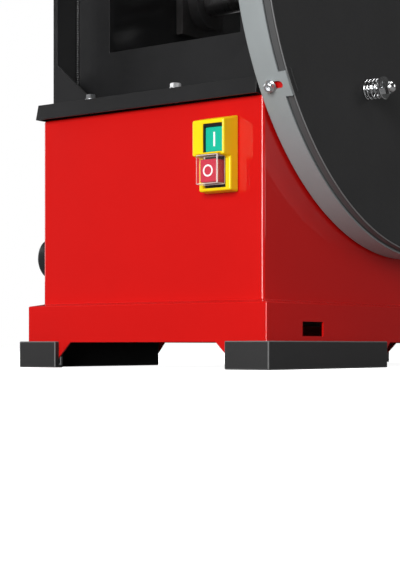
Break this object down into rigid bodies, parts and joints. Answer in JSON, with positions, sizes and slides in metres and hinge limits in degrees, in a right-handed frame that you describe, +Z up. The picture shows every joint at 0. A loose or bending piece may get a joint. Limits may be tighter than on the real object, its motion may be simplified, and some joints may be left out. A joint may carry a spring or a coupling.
{
  "type": "log splitter",
  "caption": "Electric kinetic log splitter: flywheel-driven rack ram, wedge and side tables on a beam, over a sheet-steel cabinet with a drum guard, lever and push-button switch.",
  "frame": {"origin": "on the floor under the middle of the outer box", "axes": "+Z up, +Y along the beam from the operator's end to the wedge, +X towards the flywheel's guard"},
  "size_m": [0.4126, 0.97, 0.7893],
  "materials": {
    "red_paint": "satin",
    "black_paint": "satin",
    "grey_paint": "satin",
    "textured_black": "matte, finely textured",
    "cast_iron": "as cast",
    "machined_steel": "machined",
    "zinc_steel": "bright zinc",
    "chrome": "polished",
    "rubber": "matte",
    "black_plastic": "moulded",
    "yellow_plastic": "moulded",
    "green_plastic": "moulded",
    "red_plastic": "moulded",
    "clear_plastic": "clear moulded"
  },
  "bodies": {
    "root": {"cabinet_shell": "red_paint", "base_pan": "black_paint", "deck_tray": "black_paint", "pedestal_frame": "black_paint", "beam": "black_paint", "log_table_left": "black_paint", "log_table_right": "black_paint", "contact_block": "black_paint", "guard_drum": "grey_paint", "guard_back": "grey_paint", "bearing_left": "cast_iron", "bearing_right": "cast_iron", "motor_body": "cast_iron", "wedge": "machined_steel", "deck_bolt_1": "zinc_steel", "deck_bolt_2": "zinc_steel", "deck_bolt_3": "zinc_steel", "deck_bolt_4": "zinc_steel", "pedestal_bolt_1": "zinc_steel", "pedestal_bolt_2": "zinc_steel", "pedestal_bolt_3": "zinc_steel", "pedestal_bolt_4": "zinc_steel", "wedge_bolt_1": "zinc_steel", "wedge_bolt_2": "zinc_steel", "return_spring_left": "zinc_steel", "return_spring_right": "zinc_steel", "cover_spring_1": "zinc_steel", "cover_spring_2": "zinc_steel", "cover_spring_3": "zinc_steel", "cover_spring_4": "zinc_steel", "cover_stud_1": "chrome", "cover_stud_2": "chrome", "cover_stud_3": "chrome", "cover_stud_4": "chrome", "foot_cap_front_left": "rubber", "foot_cap_front_right": "rubber", "foot_cap_rear_left": "rubber", "foot_cap_rear_right": "rubber", "drive_belt": "rubber", "power_inlet": "black_plastic", "switch_housing": "yellow_plastic"},
    "drive_rotor": {"drive_shaft": "machined_steel", "pinion": "machined_steel", "flywheel": "red_paint"},
    "motor_rotor": {"motor_shaft": "machined_steel", "motor_pulley": "cast_iron"},
    "ram": {"rack": "machined_steel", "ram_shoe": "red_paint", "push_plate": "red_paint"},
    "cover": {"guard_cover": "textured_black", "cover_rim": "textured_black", "cover_screw_1": "zinc_steel", "cover_screw_2": "zinc_steel", "cover_screw_3": "zinc_steel"},
    "lever": {"engage_lever": "machined_steel", "lever_grip": "rubber"},
    "roller": {"press_roller": "machined_steel"},
    "start": {"start_button": "green_plastic"},
    "stop": {"stop_button": "red_plastic", "stop_cap": "clear_plastic"}
  },
  "joints": [
    {"name": "flywheel_spin", "type": "hinge", "parent": "root", "child": "drive_rotor", "pos_m": [-0.017, -0.066, 0.453], "axis": [1, 0, 0], "continuous": true},
    {"name": "motor_spin", "type": "hinge", "parent": "root", "child": "motor_rotor", "pos_m": [-0.017, -0.066, 0.168], "axis": [1, 0, 0], "continuous": true},
    {"name": "ram_stroke", "type": "slide", "parent": "root", "child": "ram", "axis": [0, 1, 0], "range_m": [0, 0.36], "stiffness_N_per_m": 300, "springref_m": -0.15, "deforming": ["return_spring_left", "return_spring_right"]},
    {"name": "cover_pull", "type": "slide", "parent": "root", "child": "cover", "axis": [1, 0, 0], "range_m": [0, 0.01], "stiffness_N_per_m": 4000, "springref_m": -0.006, "deforming": ["cover_spring_1", "cover_spring_2", "cover_spring_3", "cover_spring_4"]},
    {"name": "lever_engage", "type": "hinge", "parent": "root", "child": "lever", "pos_m": [-0.017, -0.135, 0.5272], "axis": [1, 0, 0], "range_deg": [0, 30], "stiffness_Nm_per_rad": 5, "springref_deg": -6.88},
    {"name": "roller_spin", "type": "hinge", "parent": "lever", "child": "roller", "pos_m": [-0.017, -0.135, 0.5272], "axis": [1, 0, 0], "continuous": true},
    {"name": "start_press", "type": "slide", "parent": "root", "child": "start", "axis": [0, 1, 0], "range_m": [0, 0.003], "stiffness_N_per_m": 400, "springref_m": -0.002},
    {"name": "stop_press", "type": "slide", "parent": "root", "child": "stop", "axis": [0, 1, 0], "range_m": [0, 0.003], "stiffness_N_per_m": 400, "springref_m": -0.002}
  ],
  "couplings": [
    {"joint": "motor_spin", "follows": "flywheel_spin", "ratio": 7.12}
  ]
}
